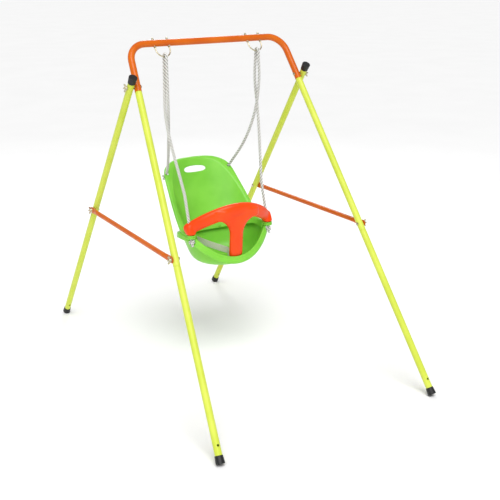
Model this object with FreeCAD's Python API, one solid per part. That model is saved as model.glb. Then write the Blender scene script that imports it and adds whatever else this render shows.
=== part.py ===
"""Toddler swing set: a folding-flat-packed steel A-frame with one bucket seat hung on two ropes.

Millimetres, +Z up, X along the top bar, -Y the front, origin on the floor midway between the feet.
"""
import FreeCAD, Part
import math
import os
from FreeCAD import Vector as V

# ---- stand: driving sizes ----
TOP_Z = 1236.0          # axis of the top bar above the floor
TOP_HALF = 327.0        # from the middle to where top bar and leg axes would meet
FRONT_FOOT_HALF = 450.0
REAR_FOOT_HALF = 386.0
STAND_HALF = 748.0      # from the middle to a foot, front to back
CROSS_Z = 1099.0        # height at which front and rear legs cross
BEND_R = 70.0           # centreline radius of the top bar's two bends
TUBE_D = 25.0
TUBE_WALL = 1.2
SWAGE_GAP = 0.15        # radial gap of a necked tube end in its socket
SWAGE_LEN = 58.0
NECK = 4.0              # length of the cone from a necked end to the full tube
SOCKET = 19.0           # the top bar's tube runs on this far below the crossing bolt
LAP_GAP = 2.4           # a spacer washer's thickness between crossing tubes
OVERSHOOT = 44.0        # rear leg above the crossing bolt, without its cap
JOINT_BELOW = 25.0      # leg joint line below the brace bolt

# ---- braces ----
BRACE_Z = 573.0
BRACE_D = 18.0
BRACE_WALL = 1.0
FLAT_T = 3.4            # thickness of a brace's pressed end
FLAT_H = 25.0
FLAT_LEN = 38.0
FLARE_LEN = 34.0
FLAT_END = 14.0         # pressed end beyond its bolt
FLAT_GAP = 0.3

# ---- end caps and ground anchor ----
CAP_LEN = 27.0
CAP_FLOOR = 3.0
CAP_TOP_R = 13.9
CAP_END_R = 15.6
CAP_GAP = 0.1
CAP_FACET = 1.0         # the rim is flattened this far where it stands on the floor
ANCHOR_D = 8.4
ANCHOR_UP = 58.0        # anchor hole above the foot, along the leg

# ---- M6 hardware ----
BOLT_D = 6.0
BOLT_HOLE_D = 6.4
HEAD_D = 13.0
HEAD_H = 3.4
SEAT_GAP = 0.4          # a head or washer stands this far off a round or slanting face
WASHER_D = 15.0
WASHER_T = 1.2
SPACER_T = 0.9
NUT_D = 11.0
NUT_H = 7.0
WING_SPAN = 30.0
WING_T = 2.2
WING_H = 9.0
THREAD_OUT = 5.0        # thread showing past a wing nut

# ---- rope hangers: a U-bolt through the top bar ----
HANG_X = 197.0
WIRE_D = 5.0
WIRE_HOLE_D = 5.5
LEG_HALF = 28.5         # half the spacing of a U-bolt's legs, and its loop's radius
HANG_DROP = 55.5        # from the top bar's axis to the loop's lowest wire, along the frame's lean
HEX_AF = 8.0
HEX_H = 4.5
SMALL_WASHER_D = 10.0
SMALL_WASHER_T = 1.0
HANG_OUT = 5.0          # thread above the upper nuts

# ---- ropes ----
ROPE_D = 12.0
ROPE_OVER = 0.5         # gap from rope to hanger wire
ROPE_HOLE_D = 14.5
KNOT_D = 27.0
KNOT_GAP = 0.4
SPREAD = 6.8            # half the gap from rope to rope where the two strands cross
CROSS_DOWN = 240.0      # crossing below the hanger
ROPE_LEAN = 0.298       # how far the front strand leans back per unit of height
ROPE_X = 171.0
ROPE_Y = -48.0          # front strand at the guard's height
GUARD_Z = 575.0
GUARD_HOLE_D = 17.0

# ---- seat pan: an oval bucket, given by its half-depths at two heights ----
PAN_Z = 398.0
PAN_LOW_Z = 432.0       # height of the lowest rim
EAR_Z = 535.0           # height of the rope ears
PAN_WALL = (115.0, 150.0)   # half-depth of the wall at those two heights
PAN_LIP = (124.0, 169.0)    # and of the lip's outer edge
PAN_WIDEN = 1.16        # half-width over half-depth
SHELL = 4.0
PAN_ROUND = 46.0        # rounding of the pan's floor into its wall
FRONT_SLOPE = 1.5       # rise of the front rim towards the ears
REAR_SLOPE = 0.25       # fall of the pan's rear rim towards the back
SKIRT = 16.0            # the pan's lip turns down this far
NEST = 14.0             # the backrest's lower edge sits this far inside the pan
EAR_R = 17.0
EAR_T = 6.0
EAR_IN = 26.0           # an ear reaches this far inboard of its hole

# ---- backrest: round rings that grow and move back with height ----
BACK_R = 160.0          # outside radius at the ears' height
BACK_R_RISE = 0.30      # growth of the radius per unit of height
BACK_Y = -16.0
BACK_Y_RISE = 0.158
BACK_TOP_Z = 766.0
BACK_CORNER_Y = 12.0   # front end of the slanting rim, at the ears' height
BACK_SLOPE = 1.053       # rise of the slanting rim
BACK_LIP = 9.0
BACK_SKIRT = 24.0       # the backrest's rim turns back this far
REAR_EAR_R = 15.0
REAR_EAR_T = 6.0
SLOT_Z = 719.0
SLOT_W = 98.0
SLOT_H = 23.0
REAR_HOLE_Z = 722.0
REAR_HOLE_OUT = 9.0     # rope hole outside the wall
SEAT_BOLT_X = 52.0

# ---- guard bar ----
ARM_END = (184.0, -33.0, 550.0)
ARM_BEND = (140.0, -78.0, 594.0)
ARM_MIDDLE = (0.0, -124.0, 638.0)
ARM_H = 42.0
ARM_T = 30.0
BOSS_D = 37.0           # a boss round each rope stands on the seat's ears
BOSS_UP = 10.0
TRUNK_W = 54.0
TRUNK_T = 24.0
TRUNK_Y = -98.0

# ---- lap belt ----
BELT_W = 25.0
BELT_T = 2.0
BUCKLE_W = 38.0
BUCKLE_T = 13.0
BUCKLE_H = 30.0

# ---- worked out from the above ----
R_TUBE = TUBE_D / 2
TOP_Y = (TOP_Z - CROSS_Z) * STAND_HALF / CROSS_Z
LAP = TUBE_D + LAP_GAP
LEAN = V(0, -STAND_HALF - TOP_Y, -TOP_Z).normalize()   # down the front frame's plane
Z = V(0, 0, 1)
X = V(1, 0, 0)


def at(a, b, t):
    """The point a share t of the way from a to b."""
    return a + (b - a) * t


def at_height(a, b, z):
    return at(a, b, (z - a.z) / (b.z - a.z))


def placed(shape, origin, axis, along=X):
    """A shape made about +Z at zero, moved to origin with +Z along axis and +X as near along as it goes."""
    side = along - axis * along.dot(axis)
    frame = FreeCAD.Matrix()
    side.normalize()
    up = axis.cross(side)
    frame.A11, frame.A21, frame.A31 = side.x, side.y, side.z
    frame.A12, frame.A22, frame.A32 = up.x, up.y, up.z
    frame.A13, frame.A23, frame.A33 = axis.x, axis.y, axis.z
    moved = shape.copy()
    moved.Placement = FreeCAD.Placement(origin, FreeCAD.Placement(frame).Rotation)
    return moved


def rod(a, b, d):
    return Part.makeCylinder(d / 2, (b - a).Length, a, b - a)


def turned(profile):
    """A solid turned about Z from (radius, height) points."""
    points = [V(r, 0, z) for r, z in profile]
    return Part.Face(Part.makePolygon(points + points[:1])).revolve(V(), Z, 360)


def mirrored(shape):
    return shape.mirror(V(), X)


def write(name, *solids):
    shape = solids[0] if len(solids) == 1 else Part.makeCompound(list(solids))
    if not shape.isValid():
        raise ValueError(name + " isn't a valid shape")
    shape.exportStep("parts/" + name + ".step")


# ---- routes: straight runs joined by tangent arcs ----
def corner_arc(before, point, after, radius):
    """The arc of that radius that rounds a corner, as its start, middle and end."""
    back, on = (before - point).normalize(), (after - point).normalize()
    half = back.getAngle(on) / 2
    inward = (back + on).normalize()
    reach = radius / math.tan(half)
    middle = point + inward * (radius / math.sin(half) - radius)
    return point + back * reach, middle, point + on * reach


def natural_radius(before, point, after):
    """As large an arc as the two runs allow."""
    turn = math.pi - (before - point).getAngle(after - point)
    return 0.45 * min((before - point).Length, (after - point).Length) / math.tan(turn / 2)


def route(points, radii):
    """The wire through points, rounded at each inner point by its radius."""
    edges, start = [], points[0]
    for i in range(1, len(points) - 1):
        first, middle, last = corner_arc(points[i - 1], points[i], points[i + 1], radii[i - 1])
        if (first - start).Length > 0.02:
            edges.append(Part.LineSegment(start, first).toShape())
        edges.append(Part.Arc(first, middle, last).toShape())
        start = last
    edges.append(Part.LineSegment(start, points[-1]).toShape())
    return Part.Wire(edges)


def tube_along(path, d):
    first = path.Edges[0]
    start = first.valueAt(first.FirstParameter)
    heading = first.tangentAt(first.FirstParameter)
    section = Part.Wire(Part.makeCircle(d / 2, start, heading))
    return path.makePipeShell([section], True, False)


# ---- stand ----
def leg_lines(side):
    """The front and rear leg axes on one side: corner, front foot, crossing, rear crossing, rear foot."""
    corner = V(side * TOP_HALF, TOP_Y, TOP_Z)
    front = V(side * FRONT_FOOT_HALF, -STAND_HALF, 0)
    rear = V(side * REAR_FOOT_HALF, STAND_HALF, 0)
    cross = at_height(corner, front, CROSS_Z)
    return corner, front, cross, cross + V(side * LAP, 0, 0), rear


def cap_seat(foot, up):
    """The middle of a cap's end face, so that its flattened rim stands on the floor."""
    tilt = math.sqrt(1 - up.z ** 2)
    return foot + up * ((CAP_END_R * tilt - CAP_FACET) / up.z)


def leg_piece(top, bottom, necked):
    """One tube from top to bottom; a necked tube has a thinner end that goes on above top."""
    down = (bottom - top).normalize()
    length = (bottom - top).Length
    thin = R_TUBE - TUBE_WALL - SWAGE_GAP
    outer = [(R_TUBE, length), (R_TUBE, 0)]
    if necked:
        outer = [(R_TUBE, length), (R_TUBE, NECK), (thin, 0), (thin, -SWAGE_LEN)]
    inner = [(r - TUBE_WALL, z) for r, z in reversed(outer)]
    return placed(turned(outer + inner), top, down)


def cap(end, up):
    """A black end cap: end is the middle of its closed face, up points into the tube."""
    bore = R_TUBE + CAP_GAP
    profile = [(0, 0), (CAP_END_R - 1, 0), (CAP_END_R, 1), (CAP_END_R - 0.3, 8), (CAP_TOP_R, CAP_LEN - 1),
               (CAP_TOP_R - 0.6, CAP_LEN), (bore, CAP_LEN), (bore, CAP_FLOOR), (0, CAP_FLOOR)]
    return placed(turned(profile), end, up)


def bolt_hole(centre, reach=60.0, d=BOLT_HOLE_D):
    return rod(centre - X * reach, centre + X * reach, d)


def flattened(width, height, reach, thin=0.0):
    """A tube pressed flat at both ends, from -reach to reach along Z; thin shrinks it to make its bore."""
    half = BRACE_D / 2 - thin
    flat_w, flat_h = width / 2 - thin, height / 2 - thin
    stops = [(-reach, flat_w, flat_h), (-reach + FLAT_LEN, flat_w, flat_h),
             (-reach + FLAT_LEN + FLARE_LEN, half - 0.01, half),
             (reach - FLAT_LEN - FLARE_LEN, half - 0.01, half),
             (reach - FLAT_LEN, flat_w, flat_h), (reach, flat_w, flat_h)]
    wires = []
    for z, w, h in stops:
        oval = Part.Ellipse(V(0, 0, z), h, w)
        oval.rotate(FreeCAD.Placement(V(0, 0, z), FreeCAD.Rotation(Z, 90)))
        wires.append(Part.Wire(oval.toShape()))
    pieces = [Part.makeLoft(wires[i:i + 2], True, True) for i in range(len(wires) - 1)]
    return pieces[0].multiFuse(pieces[1:]).removeSplitter()


def brace(front, rear):
    """A round tube with pressed ends, its flats facing along X."""
    along = (rear - front).normalize()
    reach = (rear - front).Length / 2 + FLAT_END
    outer = flattened(FLAT_T, FLAT_H, reach)
    tube = outer.cut(flattened(FLAT_T, FLAT_H, reach + 0.01, BRACE_WALL))
    rounds = Part.makeCylinder(FLAT_H / 2, 40, V(-20, 0, FLAT_END - reach), X)
    rounds = rounds.fuse(Part.makeCylinder(FLAT_H / 2, 40, V(-20, 0, reach - FLAT_END), X))
    rounds = rounds.fuse(Part.makeBox(40, 40, 2 * (reach - FLAT_END), V(-20, -20, FLAT_END - reach)))
    tube = placed(tube.common(rounds), at(front, rear, 0.5), along)
    return tube.cut(bolt_hole(front)).cut(bolt_hole(rear))


def carriage_bolt(head, out, length):
    """A domed bolt: head is the point under its head, out the way it goes."""
    dome = Part.makeSphere(HEAD_D * 0.75, V(0, 0, HEAD_D * 0.75 - HEAD_H))
    dome = dome.common(Part.makeCylinder(HEAD_D / 2, HEAD_H, V(0, 0, -HEAD_H)))
    neck = Part.makeCylinder(BOLT_D / 2, length)
    return placed(dome.fuse(neck), head, out, Z)


def washer(base, out, d, hole, t):
    ring = Part.makeCylinder(d / 2, t).cut(Part.makeCylinder(hole / 2, t))
    return placed(ring, base, out, Z)


def wing_nut(base, out):
    """A pressed wing nut with two raised wings."""
    hub = Part.makeCone(NUT_D / 2, NUT_D / 2 - 1.2, NUT_H)
    outline = [V(NUT_D / 2 - 2, 0, 0.8), V(WING_SPAN / 2 - 3, 0, 3), V(WING_SPAN / 2, 0, WING_H),
               V(WING_SPAN / 2 - 4, 0, WING_H + 2), V(NUT_D / 2 - 2, 0, NUT_H - 1)]
    wing = Part.Face(Part.makePolygon(outline + outline[:1])).extrude(V(0, WING_T, 0))
    wing.translate(V(0, -WING_T / 2, 0))
    body = hub.fuse(wing).fuse(wing.mirror(V(), X)).cut(Part.makeCylinder(BOLT_D / 2 + 0.05, 30, V(0, 0, -1)))
    return placed(body, base, out, Z)


def bolted(side, inner, outer):
    """Bolt, washer and wing nut clamping from x = inner to outer on one side; the points share y and z."""
    out = X * side
    inner, outer = inner - out * SEAT_GAP, outer + out * SEAT_GAP
    bolt = carriage_bolt(inner, out, (outer - inner).Length + WASHER_T + NUT_H + THREAD_OUT)
    return bolt, washer(outer, out, WASHER_D, BOLT_HOLE_D, WASHER_T), wing_nut(outer + out * WASHER_T, out)


def top_bar_path():
    points = []
    for side in (-1, 1):
        corner, front, cross, _, _ = leg_lines(side)
        end = cross + (front - corner).normalize() * SOCKET
        points += [end, corner] if side < 0 else [corner, end]
    return points


def hanger_points(x):
    """A U-bolt's axis points in the leaning plane: upper end, loop start, on both sides, and the low point."""
    mid = V(x, TOP_Y, TOP_Z)
    top = mid - LEAN * (R_TUBE + SMALL_WASHER_T + HEX_H + HANG_OUT)
    bend = mid + LEAN * (HANG_DROP - LEG_HALF)
    return top, bend, mid + LEAN * HANG_DROP


def make_top_bar():
    points = top_bar_path()
    path = route(points, [BEND_R, BEND_R])
    bar = tube_along(path, TUBE_D).cut(tube_along(path, TUBE_D - 2 * TUBE_WALL))
    for side in (-1, 1):
        bar = bar.cut(bolt_hole(leg_lines(side)[2]))
        for leg in (-LEG_HALF, LEG_HALF):
            mid = V(side * HANG_X + leg, TOP_Y, TOP_Z)
            bar = bar.cut(rod(mid - LEAN * TUBE_D, mid + LEAN * TUBE_D, WIRE_HOLE_D))
    write("top_bar", bar)


def make_legs():
    bolts, washers, nuts, spacers = [], [], [], []
    for side, name in ((-1, "left"), (1, "right")):
        corner, front, cross, rear_cross, rear = leg_lines(side)
        out = X * side
        brace_ends = []
        for place, top, foot, bolt_top in (("front", corner, front, cross), ("rear", rear_cross, rear, rear_cross)):
            up = (top - foot).normalize()
            seat = cap_seat(foot, up)
            tip = seat + up * CAP_FLOOR
            bolt = at_height(foot, top, BRACE_Z)
            joint = bolt - up * JOINT_BELOW
            head = cross - up * (SOCKET + 0.5) if place == "front" else rear_cross + up * OVERSHOOT
            upper = leg_piece(head, joint, place == "front").cut(bolt_hole(bolt_top)).cut(bolt_hole(bolt))
            anchor = seat + up * ANCHOR_UP
            across = up.cross(X).normalize()
            lower = leg_piece(joint - up * 0.5, tip, True).cut(bolt_hole(bolt))
            lower = lower.cut(rod(anchor - across * TUBE_D, anchor + across * TUBE_D, ANCHOR_D))
            write(place + "_leg_upper_" + name, upper)
            write(place + "_leg_lower_" + name, lower)
            foot_cap = cap(seat, up).cut(Part.makeBox(2000, 2000, 50, V(-1000, -1000, -50)))
            write("foot_cap_" + place + "_" + name, foot_cap)
            if place == "rear":
                write("top_cap_" + name, cap(head + up * CAP_FLOOR, -up))
            brace_ends.append(bolt)
            print("anchor", place, name, tuple(round(c / 1000, 5) for c in anchor),
                  tuple(round(c, 5) for c in across))
        flat = out * (R_TUBE + FLAT_GAP + FLAT_T / 2)
        write("brace_" + name, brace(brace_ends[0] + flat, brace_ends[1] + flat))
        for bolt in brace_ends:
            bolts_, washers_, nuts_ = bolted(side, bolt - out * R_TUBE, bolt + flat + out * FLAT_T / 2)
            bolts.append(bolts_)
            washers.append(washers_)
            nuts.append(nuts_)
        apex = bolted(side, cross - out * R_TUBE, rear_cross + out * R_TUBE)
        spacers.append(washer(cross + out * (R_TUBE + (LAP_GAP - SPACER_T) / 2), out, WASHER_D, BOLT_HOLE_D, SPACER_T))
        write("apex_bolt_" + name, apex[0])
        washers.append(apex[1])
        nuts.append(apex[2])
    write("brace_bolts", *bolts)
    write("washers", *washers)
    write("wing_nuts", *nuts)
    write("apex_spacers", *spacers)


def hex_nut(base, out, side=X):
    corners = [V(HEX_AF / math.sqrt(3), 0, 0)]
    for i in range(1, 6):
        corners.append(FreeCAD.Rotation(Z, 60 * i).multVec(corners[0]))
    body = Part.Face(Part.makePolygon(corners + corners[:1])).extrude(V(0, 0, HEX_H))
    body = body.common(Part.makeCone(HEX_AF / 2 + 2.6, HEX_AF / 2, HEX_H * 2.6))
    return placed(body.cut(Part.makeCylinder(WIRE_D / 2 + 0.05, HEX_H)), base, out, side)


def make_hangers():
    nuts, rings = [], []
    for side, name in ((-1, "left"), (1, "right")):
        x = side * HANG_X
        top, bend, low = hanger_points(x)
        left, right = X * -LEG_HALF, X * LEG_HALF
        wire = Part.Wire([Part.LineSegment(top + left, bend + left).toShape(),
                          Part.Arc(bend + left, low, bend + right).toShape(),
                          Part.LineSegment(bend + right, top + right).toShape()])
        write("hanger_" + name, tube_along(wire, WIRE_D))
        for leg in (left, right):
            for way in (-1, 1):
                out = LEAN * way
                face = V(x, TOP_Y, TOP_Z) + leg + out * (R_TUBE + 0.05)
                rings.append(washer(face, out, SMALL_WASHER_D, WIRE_HOLE_D, SMALL_WASHER_T))
                nuts.append(hex_nut(face + out * (SMALL_WASHER_T + 0.02), out))
    write("hanger_nuts", *nuts)
    write("hanger_washers", *rings)


# ---- seat shells ----
def oval(centre, u, w, a, b):
    """An ellipse wire about centre with half-axes a along u and b along w."""
    shape = Part.Ellipse(V(), max(a, b), min(a, b)).toShape()
    first, second = (u, w) if a >= b else (w, u)
    return Part.Wire(placed(shape, centre, first.cross(second).normalize(), first))


def bucket(depths, out, floor, top, rounding):
    """A round solid bucket whose radii at two set heights are depths, with a rounded floor edge."""
    rise = (depths[1] - depths[0]) / (EAR_Z - PAN_LOW_Z)

    def on_wall(z):
        return V(depths[0] + rise * (z - PAN_LOW_Z) + out, 0, z)

    first, middle, last = corner_arc(V(0, 0, floor), on_wall(floor), on_wall(top), rounding)
    edges = [Part.makeLine(V(0, 0, floor), first), Part.Arc(first, middle, last).toShape(),
             Part.makeLine(last, on_wall(top)), Part.makeLine(on_wall(top), V(0, 0, top)),
             Part.makeLine(V(0, 0, top), V(0, 0, floor))]
    return Part.Face(Part.Wire(edges)).revolve(V(), Z, 360)


def widened(shape):
    """The same shape, wider along X."""
    matrix = FreeCAD.Matrix()
    matrix.A11 = PAN_WIDEN
    return shape.transformGeometry(matrix)


def cone(out, low, high):
    """The backrest's round bucket between two heights, that far outside its wall."""
    rings = [Part.Wire(Part.makeCircle(BACK_R + out + BACK_R_RISE * (z - EAR_Z),
                                       V(0, BACK_Y + BACK_Y_RISE * (z - EAR_Z), z))) for z in (low, high)]
    return Part.makeLoft(rings, True, True)


def wedge(y, z, slope, above):
    """All the space above or below the plane through (y, z) that rises by slope towards the back."""
    reach = 900.0
    block = Part.makeBox(2 * reach, 2 * reach, reach, V(-reach, -reach, 0 if above else -reach))
    block.rotate(V(), X, math.degrees(math.atan(slope)))
    block.translate(V(0, y, z))
    return block


def rim_point(z, out):
    """A point of the backrest's slanting rim at that height, that far outside the wall, on the right."""
    y = BACK_CORNER_Y + (z - EAR_Z) / BACK_SLOPE
    middle, radius = BACK_Y + BACK_Y_RISE * (z - EAR_Z), BACK_R + BACK_R_RISE * (z - EAR_Z) + out
    return V(math.sqrt(radius ** 2 - (y - middle) ** 2), y, z)


def front_hole():
    return V(ROPE_X, ROPE_Y - ROPE_LEAN * (GUARD_Z - EAR_Z), EAR_Z)


def ear(side, top, back):
    """A rounded tab round the front rope hole, reaching that far back into the lip and wall."""
    hole = front_hole()
    hole = V(side * hole.x, hole.y, top - EAR_T)
    corners = [hole + V(0, -EAR_R, 0), hole + V(side * EAR_R, 0, 0), hole + V(side * EAR_R, back, 0),
               hole + V(-side * EAR_IN, back, 0), hole + V(-side * EAR_IN, -4, 0)]
    web = Part.Face(Part.makePolygon(corners + corners[:1])).extrude(V(0, 0, EAR_T))
    return Part.makeCylinder(EAR_R, EAR_T, hole).fuse(web)


def make_pan():
    top = EAR_Z + 60
    outer = bucket(PAN_WALL, 0, PAN_Z, top, PAN_ROUND)
    inner = bucket(PAN_WALL, -SHELL * 1.1, PAN_Z + SHELL, top + 1, PAN_ROUND - SHELL)
    lip_out = bucket(PAN_LIP, 0, PAN_Z - 90, top, PAN_ROUND)
    lip_in = bucket(PAN_LIP, -SHELL, PAN_Z - 91, top + 1, PAN_ROUND)
    front = (-PAN_LIP[0], PAN_LOW_Z, FRONT_SLOPE)
    rear = (BACK_CORNER_Y, EAR_Z, -REAR_SLOPE)
    band, skirt = lip_out.cut(inner), lip_out.cut(lip_in)
    pan = outer.cut(inner)
    for y, z, slope in (front, rear):
        steep = math.sqrt(1 + slope ** 2)
        pan = pan.fuse(band.common(wedge(y, z - SHELL * steep, slope, True)))
        pan = pan.fuse(skirt.common(wedge(y, z - SKIRT * steep, slope, True)))
    pan = pan.cut(wedge(*front, True)).cut(wedge(*rear, True)).cut(wedge(0, EAR_Z, 0, True)).removeSplitter()
    pan, inner = widened(pan), widened(inner)
    for side in (-1, 1):
        pan = pan.fuse(ear(side, EAR_Z, 2 * EAR_R).cut(inner))
    return pan


def make_backrest():
    low, high = EAR_Z - 110, BACK_TOP_Z + 60
    inner = cone(-SHELL * 1.1, low, high)
    rim = wedge(BACK_CORNER_Y, EAR_Z, BACK_SLOPE, True)
    crown = wedge(0, BACK_TOP_Z, 0, True)
    foot = wedge(BACK_CORNER_Y, EAR_Z - NEST, -REAR_SLOPE, False)
    lip_slab = wedge(BACK_CORNER_Y, EAR_Z - SHELL * math.sqrt(1 + BACK_SLOPE ** 2), BACK_SLOPE, True)
    skirt_slab = wedge(BACK_CORNER_Y, EAR_Z - BACK_SKIRT * math.sqrt(1 + BACK_SLOPE ** 2), BACK_SLOPE, True)
    crown_slab = wedge(0, BACK_TOP_Z - SHELL, 0, True)
    crown_skirt = wedge(0, BACK_TOP_Z - BACK_SKIRT, 0, True)
    band = cone(BACK_LIP, low, high).cut(inner)
    skirt = band.cut(cone(BACK_LIP - SHELL, low, high))
    above_pan = wedge(BACK_CORNER_Y, EAR_Z + 1, -REAR_SLOPE, True)
    back = cone(0, low, high).cut(inner)
    for piece in (band.common(lip_slab), band.common(crown_slab), skirt.common(skirt_slab),
                  skirt.common(crown_skirt)):
        back = back.fuse(piece.common(above_pan))
    normal = V(0, -BACK_SLOPE, 1).normalize()
    for side in (-1, 1):
        hole = rim_point(REAR_HOLE_Z, REAR_HOLE_OUT)
        hole.x *= side
        tab = Part.makeCylinder(REAR_EAR_R, REAR_EAR_T, hole - normal * REAR_EAR_T, normal)
        back = back.fuse(tab.cut(inner))
    back = back.cut(rim).cut(crown).cut(foot)
    for side in (-1, 1):
        back = back.fuse(ear(side, EAR_Z + EAR_T + SEAT_GAP, 6 * EAR_R).cut(inner))
    slot = Part.makeBox(SLOT_W - SLOT_H, 400, SLOT_H, V(-(SLOT_W - SLOT_H) / 2, 60, SLOT_Z - SLOT_H / 2))
    for side in (-1, 1):
        end = V(side * (SLOT_W - SLOT_H) / 2, 60, SLOT_Z)
        slot = slot.fuse(Part.makeCylinder(SLOT_H / 2, 400, end, V(0, 1, 0)))
    return back.cut(slot)


# ---- ropes ----
def hinge_point():
    return V(HANG_X, TOP_Y, TOP_Z) + LEAN * HANG_DROP


def rope_points():
    """The right rope, from its front knot up over the hanger and down to its rear knot."""
    hook = hinge_point()
    wrap = WIRE_D / 2 + ROPE_D / 2 + ROPE_OVER
    level = hook.z + wrap
    cross = hook + V(0, 0, -CROSS_DOWN)

    def front(z):
        return V(ROPE_X, ROPE_Y + ROPE_LEAN * (z - GUARD_Z), z)

    rear = rim_point(REAR_HOLE_Z, REAR_HOLE_OUT)
    normal = V(0, -BACK_SLOPE, 1).normalize()
    knot = rear - normal * (KNOT_D / 2 + REAR_EAR_T + KNOT_GAP)
    return [front(EAR_Z - EAR_T - KNOT_D / 2 - KNOT_GAP), front(GUARD_Z + 120), cross + V(SPREAD, 0, 0), cross + V(2, 7, 130),
            V(hook.x, hook.y + wrap, level), V(hook.x, hook.y - wrap, level), cross + V(-2, -7, 130),
            cross + V(-SPREAD, 0, 0), cross + V(-27, 48, -120), rear + normal * 14, knot], wrap


def rope_radii(points, wrap):
    radii = [natural_radius(*points[i:i + 3]) for i in range(len(points) - 2)]
    radii[3] = radii[4] = wrap * 0.999
    radii[2] = radii[5] = 300.0
    return radii


def make_ropes(pan, back):
    points, wrap = rope_points()
    radii = rope_radii(points, wrap)
    print("rope radii", [round(r) for r in radii])
    path = route(points, radii)
    tube = tube_along(path, ROPE_D)
    print("rope volume share", round(tube.Volume / (math.pi * ROPE_D ** 2 / 4 * path.Length), 5),
          "length", round(path.Length, 1))
    print("rope points", [tuple(round(c / 1000, 5) for c in p) for p in points])
    front_way = (points[1] - points[0]).normalize()
    rear_way = (points[-2] - points[-1]).normalize()
    holes = rod(points[0], points[0] + front_way * 70, ROPE_HOLE_D)
    holes = holes.fuse(rod(points[-1], points[-1] + rear_way * 60, ROPE_HOLE_D))
    for knot in (points[0], points[-1]):
        holes = holes.fuse(Part.makeSphere(KNOT_D / 2 + KNOT_GAP - 0.1, knot))
    for cut in (holes, mirrored(holes)):
        pan = pan.cut(cut)
        back = back.cut(cut)
    knots = [Part.makeSphere(KNOT_D / 2, points[0]).cut(tube), Part.makeSphere(KNOT_D / 2, points[-1]).cut(tube)]
    write("rope_right", tube)
    write("rope_left", mirrored(tube))
    write("front_knots", knots[0], mirrored(knots[0]))
    write("rear_knots", knots[1], mirrored(knots[1]))
    return pan, back


def make_seat_bolts(pan, back):
    """Bolts along Y through the nested rear walls: domed heads in the seat, nuts behind it."""
    y = BACK_Y + math.sqrt((BACK_R - 3 * SHELL) ** 2 - SEAT_BOLT_X ** 2)
    z = EAR_Z - REAR_SLOPE * (y - BACK_CORNER_Y) - NEST / 2
    bolts, nuts = [], []
    out = V(0, 1, 0)
    for side in (-1, 1):
        line = Part.makeLine(V(side * SEAT_BOLT_X, 0, z), V(side * SEAT_BOLT_X, 300, z))
        inside = min(v.Y for v in line.common(back).Vertexes)
        outside = max(v.Y for v in line.common(pan).Vertexes)
        head, rear = V(side * SEAT_BOLT_X, inside - 3.8, z), V(side * SEAT_BOLT_X, outside + 3.0, z)
        bolts.append(carriage_bolt(head, out, rear.y - head.y + NUT_H + 2))
        nut = Part.makeCylinder(NUT_D / 2, NUT_H - 1).cut(Part.makeCylinder(BOLT_D / 2 + 0.05, NUT_H))
        nuts.append(placed(nut, rear, out))
        hole = rod(head - out * 30, rear + out * 30, BOLT_HOLE_D)
        pan, back = pan.cut(hole), back.cut(hole)
    write("seat_bolts", *bolts)
    write("seat_nuts", *nuts)
    return pan, back


def make_guard():
    """A T-shaped guard: two arms that curve down and back to the ropes, and a trunk down to the pan."""
    half = [V(*ARM_END), V(*ARM_BEND)]
    points = [V(-p.x, p.y, p.z) for p in half] + [V(*ARM_MIDDLE)] + half[::-1]
    path = route(points, [natural_radius(*points[i:i + 3]) for i in range(3)])
    heading = (points[1] - points[0]).normalize()
    upright = (Z - heading * Z.dot(heading)).normalize()
    section = oval(points[0], upright, heading.cross(upright), ARM_H / 2, ARM_T / 2)
    arm = path.makePipeShell([section], True, False)
    top_z, low_z = ARM_MIDDLE[2], PAN_LOW_Z + 8
    stops = [(top_z - 2, 74, ARM_T / 2 - 3), (top_z - 22, 52, ARM_T / 2 - 1), (top_z - 42, 36, TRUNK_T / 2),
             (top_z - 66, TRUNK_W / 2 + 1, TRUNK_T / 2), (top_z - 100, TRUNK_W / 2, TRUNK_T / 2),
             (low_z + 6, TRUNK_W / 2, TRUNK_T / 2), (low_z, TRUNK_W / 2 - 4, TRUNK_T / 2 - 4)]
    lean = (ARM_MIDDLE[1] - TRUNK_Y) / (top_z - low_z)
    rings = [oval(V(0, TRUNK_Y + lean * (z - low_z), z), X, V(0, 1, 0), w, t) for z, w, t in stops]
    guard = arm.fuse(Part.makeLoft(rings, True, True))
    way = V(0, ROPE_LEAN, 1).normalize()
    holes = []
    for side in (-1, 1):
        centre = V(side * ROPE_X, ROPE_Y, GUARD_Z)
        guard = guard.fuse(rod(centre - way * 45, centre + way * BOSS_UP, BOSS_D))
        holes.append(rod(centre - way * 60, centre + way * 60, GUARD_HOLE_D))
    seat = EAR_Z + EAR_T + 2 * SEAT_GAP
    ear_room = Part.makeBox(2 * (ARM_END[0] + BOSS_D), 160, 100, V(-ARM_END[0] - BOSS_D, -90, seat - 100))
    trunk_room = Part.makeBox(2 * ARM_BEND[0] - 40, 160, 100, V(20 - ARM_BEND[0], -90, seat - 100))
    guard = guard.cut(ear_room.cut(trunk_room))
    for hole in holes:
        guard = guard.cut(hole)
    write("guard", guard)


def strap(points, width_way):
    """A flat strap along points, as one plain solid."""
    pieces = []
    for a, b in zip(points, points[1:]):
        way = (b - a).normalize()
        across = (width_way - way * width_way.dot(way)).normalize()
        corners = [a + across * (BELT_W / 2), a - across * (BELT_W / 2)]
        face = Part.Face(Part.makePolygon([corners[0], corners[1], corners[1] + (b - a), corners[0] + (b - a),
                                           corners[0]]))
        pieces.append(face.extrude(way.cross(across) * BELT_T))
    return pieces[0] if len(pieces) == 1 else pieces[0].multiFuse(pieces[1:]).removeSplitter()


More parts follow.
